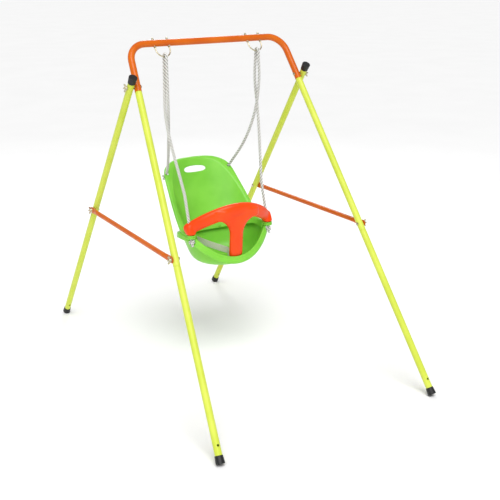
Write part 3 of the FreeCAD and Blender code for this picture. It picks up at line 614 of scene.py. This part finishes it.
# ---- guard ----
def spline_line(name, points):
    """Points along the smooth NURBS line of a route."""
    curve = bpy.data.curves.new(name, "CURVE")
    curve.dimensions = "3D"
    spline = curve.splines.new("NURBS")
    spline.points.add(len(points) - 1)
    for control, point in zip(spline.points, points):
        control.co = (*point, 1)
    spline.order_u = 3
    spline.use_endpoint_u = True
    spline.resolution_u = 24
    made = bpy.data.objects.new(name, curve)
    bpy.context.scene.collection.objects.link(made)
    mesh = bpy.data.meshes.new_from_object(made)
    line = np.array([v.co for v in mesh.vertices])
    bpy.data.objects.remove(made)
    return line


def evenly(line, step):
    """The line's points at an even spacing."""
    along = np.concatenate([[0], np.cumsum(np.linalg.norm(np.diff(line, axis=0), axis=1))])
    marks = np.linspace(0, along[-1], int(along[-1] / step) + 1)
    return np.stack([np.interp(marks, along, line[:, i]) for i in range(3)], 1)


def ovals(centres, u, w, half_u, half_w, count=40, power=0.86):
    """Rings of flattened ovals about centres, a little squarer than ellipses."""
    turn = np.linspace(0, 2 * math.pi, count, endpoint=False)
    c, s = np.cos(turn), np.sin(turn)
    c, s = np.sign(c) * np.abs(c) ** power, np.sign(s) * np.abs(s) ** power
    return (centres[:, None] + c[None, :, None] * (u * half_u[:, None])[:, None]
            + s[None, :, None] * (w * half_w[:, None])[:, None])


def upright(count):
    """The across and deep directions of that many level rings."""
    return np.tile((1.0, 0, 0), (count, 1)), np.tile((0, 1.0, 0), (count, 1))


def guard_arms():
    """The curved bar across, thinner towards its rounded ends."""
    line = evenly(spline_line("guard_arms", ARM_LINE), 0.003)
    tangent, _, _ = frames(line)
    up = np.array((0, 0, 1.0)) - tangent * tangent[:, 2:3]
    up /= np.linalg.norm(up, axis=1)[:, None]
    share = np.linspace(-1, 1, len(line))
    end = np.minimum(1 - np.abs(share), ARM_ROUND) / ARM_ROUND
    taper = np.sqrt(np.clip(1 - (1 - end) ** 2, 0.02, 1))
    half_up = (ARM_HALF_UP - ARM_NARROWS * np.abs(share) ** 1.6) * taper
    half_out = (ARM_HALF_OUT - ARM_THINS * np.abs(share)) * taper
    return skin(ovals(line, up, np.cross(tangent, up), half_up, half_out))


def guard_trunk():
    """The trunk between the legs, flared where it joins the arms and rounded at its foot."""
    (low_y, low_z), (top_y, top_z) = TRUNK_LOW, TRUNK_TOP
    heights = np.linspace(low_z, top_z, TRUNK_RINGS)
    drop = top_z - heights
    below_arm = np.clip(drop - FLARE_FROM, 0, FLARE_R)
    half_wide = TRUNK_HALF + FLARE_R - np.sqrt(FLARE_R ** 2 - (FLARE_R - below_arm) ** 2)
    half_deep = TRUNK_DEEP + TRUNK_SWELL * np.exp(-(drop / SWELL_OVER))
    foot = np.clip((heights - low_z) / FOOT_ROUND, 0, 1)
    round_foot = FOOT_SHARE + (1 - FOOT_SHARE) * np.sqrt(foot * (2 - foot))
    centres = np.stack([0 * heights, np.interp(heights, [low_z, top_z], [low_y, top_y]), heights], 1)
    across, deep = upright(TRUNK_RINGS)
    return skin(ovals(centres, across, deep, half_wide * round_foot, half_deep * round_foot))


def guard_boss(side):
    """A boss round the front rope, from the seat's ear up into the arm's end."""
    places = np.linspace(BOSS_DOWN, BOSS_UP, BOSS_RINGS)[:, None]
    line = np.array(GUARD_HOLE) * (side, 1, 1) + np.array(rope_way()) * places
    radius = BOSS_R - BOSS_NARROWS * np.linspace(0, 1, BOSS_RINGS) ** 3
    return skin(ovals(line, *upright(BOSS_RINGS), radius, radius))


def make_guard(material):
    """The T-shaped guard: arms, trunk and bosses melted into one moulding, then bored for the ropes."""
    guard = piece("guard_moulded", [guard_arms(), guard_trunk(), guard_boss(-1), guard_boss(1)])
    modify(guard, "REMESH", mode="VOXEL", voxel_size=GUARD_VOXEL)
    modify(guard, "SMOOTH", factor=0.5, iterations=GUARD_SMOOTHING)
    modify(guard, "SUBSURF", levels=1, render_levels=1)
    settle(guard)
    reach = rope_way() * HOLE_REACH
    cut_away(guard, [rod("hole", side(GUARD_HOLE - reach), side(GUARD_HOLE + reach), GUARD_HOLE_R)
                     for side in (flipped, Vector)])
    guard.data.materials.clear()
    guard.data.materials.append(material)
    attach(guard, "guard")
    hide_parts("guard")


# ---- ropes ----
def strands(line, thickness, lay):
    """Three round strands laid round a line."""
    _, u, w = frames(line)
    along = np.concatenate([[0], np.cumsum(np.linalg.norm(np.diff(line, axis=0), axis=1))])
    radius = STRAND_SHARE * thickness
    away = thickness / 2 - radius
    turn = np.linspace(0, 2 * math.pi, STRAND_SIDES, endpoint=False)[None, :, None]
    made = []
    for k in range(3):
        lead = (2 * math.pi * (k / 3 + along / lay))[:, None]
        centre = line + away * (np.cos(lead) * u + np.sin(lead) * w)
        rings = centre[:, None] + radius * (np.cos(turn + lead[:, None]) * u[:, None]
                                            + np.sin(turn + lead[:, None]) * w[:, None])
        made.append(skin(rings))
    return made


def knot_parts(centre, way):
    """An overhand knot pulled tight about its rope's line, with a short tail."""
    t = np.linspace(KNOT_OPEN, 2 * math.pi - KNOT_OPEN, 110)
    x, y = np.sin(t) + 2 * np.sin(2 * t), np.cos(t) - 2 * np.cos(2 * t)
    loop = np.stack([x, y, -1.5 * np.sin(3 * t)], 1) * KNOT_SCALE
    turn = Vector((0, 0, 1)).rotation_difference(Vector(way)).to_matrix()
    loop = loop @ np.array(turn).T + np.array(centre)
    tail = np.array(centre) - np.array(way)[None, :] * np.linspace(TAIL_FROM, TAIL_TO, 8)[:, None]
    return strands(evenly(loop, KNOT_STEP), KNOT_ROPE_D, KNOT_LAY) + strands(tail, TAIL_D, ROPE_LAY)


def make_knot(name, centre, after, material):
    """A knot at a rope's end, in line with the next point of its route."""
    way = (Vector(after) - Vector(centre)).normalized()
    knot = piece("knot_" + name, knot_parts(centre, way), material)
    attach(knot, "swing")
    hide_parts(name.split("_")[0] + "_knots")
    return knot


def make_ropes(material):
    """A laid rope on each side, from the front knot over the hanger to the rear knot."""
    for name, side in (("left", -1), ("right", 1)):
        route = [(side * x, y, z) for x, y, z in ROPE_ROUTE]
        for place, way in BOWED:
            x, y, z = route[place]
            route[place] = (x - side * way * BOW[name], y + way * BOW[name], z)
        line = evenly(spline_line("rope_" + name, route), ROPE_STEP)
        rope = piece("rope_" + name + "_laid", strands(line, ROPE_D, side * ROPE_LAY), material)
        knots = [make_knot("front_" + name, route[0], route[1], material),
                 make_knot("rear_" + name, route[-1], route[-2], material)]
        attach(rope, "swing")
        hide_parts("rope_" + name)


# ---- belt ----
def ribbon(line, across):
    """A flat woven strap along a line, with rounded edges."""
    tangent, _, _ = frames(line)
    wide = np.array(across) - tangent * (tangent @ np.array(across))[:, None]
    wide /= np.linalg.norm(wide, axis=1)[:, None]
    half_wide, half_thick = np.full(len(line), STRAP_W / 2), np.full(len(line), STRAP_T / 2)
    return skin(ovals(line, wide, np.cross(tangent, wide), half_wide, half_thick, 20, 0.55))


def make_belt(material):
    """The lap strap from the left wall to the buckle, and the crotch strap from there to the floor."""
    stop = BUCKLE - (BUCKLE - STRAP_WALL).normalized() * STRAP_STOP
    sag = Vector((0, 0, -STRAP_SAG))
    route = [STRAP_WALL, STRAP_WALL.lerp(stop, 0.33) + sag, STRAP_WALL.lerp(stop, 0.66) + sag, stop]
    line = evenly(spline_line("lap", route), STRAP_STEP)
    lap = piece("lap_strap_woven", [ribbon(line, (0, 0, 1))], material)
    low, floor = BUCKLE - Vector((0, 0, BUCKLE_HALF)), Vector((0, BUCKLE.y, CROTCH_LOW_Z))
    crotch_line = evenly(np.array([low, floor]), STRAP_STEP)
    crotch = piece("crotch_strap_woven", [ribbon(crotch_line, (1, 0, 0))], material)
    for strap, node in ((lap, "lap_strap"), (crotch, "crotch_strap")):
        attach(strap, "swing")
        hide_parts(node)


# ---- light, floor and camera ----
def lamp(name, place, size, power):
    """A square lamp that faces the middle of the object."""
    data = bpy.data.lights.new(name, "AREA")
    data.shape, data.size, data.energy = "SQUARE", size, power
    made = bpy.data.objects.new(name, data)
    made.location = place
    made.rotation_euler = (Vector(LAMP_TARGET) - Vector(place)).to_track_quat("-Z", "Y").to_euler()
    bpy.context.scene.collection.objects.link(made)


def make_floor():
    """A wide floor of matt white paper, just under the feet."""
    half, z = FLOOR_HALF, CAD_BOX[0][2] - FLOOR_BELOW
    corners = [(-half, -half, z), (half, -half, z), (half, half, z), (-half, half, z)]
    mesh = bpy.data.meshes.new("floor")
    mesh.from_pydata(corners, [], [(0, 1, 2, 3)])
    paper, tree, shader, place = finish("paper_matt_white", Roughness=0.9, Specular_IOR_Level=0.2)
    mottle(tree, place, shader, "#FCFCFC", "#FEFEFE", 0.5)
    mesh.materials.append(paper)
    floor = bpy.data.objects.new("floor", mesh)
    bpy.context.scene.collection.objects.link(floor)


def make_light():
    """A bright even room, two lamps and a soft light from above."""
    scene = bpy.context.scene
    world = bpy.data.worlds.new("studio")
    world.use_nodes = True
    background = world.node_tree.nodes["Background"]
    background.inputs["Color"].default_value = linear("#FFFFFF")
    background.inputs["Strength"].default_value = WORLD_STRENGTH
    scene.world = world
    for name, place, size, power in LAMPS:
        lamp(name, place, size, power)
    sun = bpy.data.lights.new("overhead", "SUN")
    sun.energy, sun.angle = SUN_STRENGTH, SUN_SPREAD
    above = bpy.data.objects.new("overhead", sun)
    above.rotation_euler = SUN_TURN
    scene.collection.objects.link(above)


def make_camera():
    """The main view: from the front left and a little above."""
    scene = bpy.context.scene
    data = bpy.data.cameras.new("camera")
    data.sensor_width, data.lens = SENSOR, LENS
    data.shift_x, data.shift_y = SHIFT
    camera = bpy.data.objects.new("camera", data)
    camera.location = CAMERA_PLACE
    camera.rotation_euler = Euler((math.radians(90 - CAMERA_DOWN), 0, math.radians(CAMERA_TURN)))
    scene.collection.objects.link(camera)
    scene.camera = camera


def make_studio():
    """Light, floor and camera, in place of the start-up ones."""
    for name in ("Cube", "Light", "Camera"):
        if name in bpy.data.objects:
            bpy.data.objects.remove(bpy.data.objects[name])
    bpy.context.scene.view_settings.view_transform = "Standard"
    make_light()
    make_floor()
    make_camera()


def dress_frame(finishes):
    """Gives every CAD node that stays its finish."""
    kinds = {"orange": ("top_bar", "brace_left", "brace_right"), "black": ("foot_cap", "top_cap"),
             "yellow": ("front_leg", "rear_leg"), "pale": ("buckle",), "green": ("seat_bolts",)}
    for name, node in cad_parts.items():
        kind = next((key for key, starts in kinds.items() if name.startswith(starts)), "zinc")
        node.data.materials.clear()
        node.data.materials.append(finishes[kind])


make_studio()
white = twisted_rope()
make_ropes(white)
green = moulded_polypropylene("polypropylene_moulded_green", "#7ACA3E", "#88D64A", 0.006, 0.25)
pale = moulded_polypropylene("acetal_moulded_pale", "#D4DFC8", "#DCE6D2", 0.002, 0.1)
dress_frame({"orange": powder_coat("powder_coat_orange", "#CE5C05", "#D8690A"),
             "yellow": powder_coat("powder_coat_lime_yellow", "#CDDB4A", "#D8E458"),
             "black": moulded_polyethylene(), "zinc": zinc_plate(), "pale": pale, "green": green})
make_seat(green)
make_guard(moulded_polypropylene("polypropylene_moulded_orange", "#F24404", "#FA5008", 0.004, 0.12))
make_belt(woven_webbing())
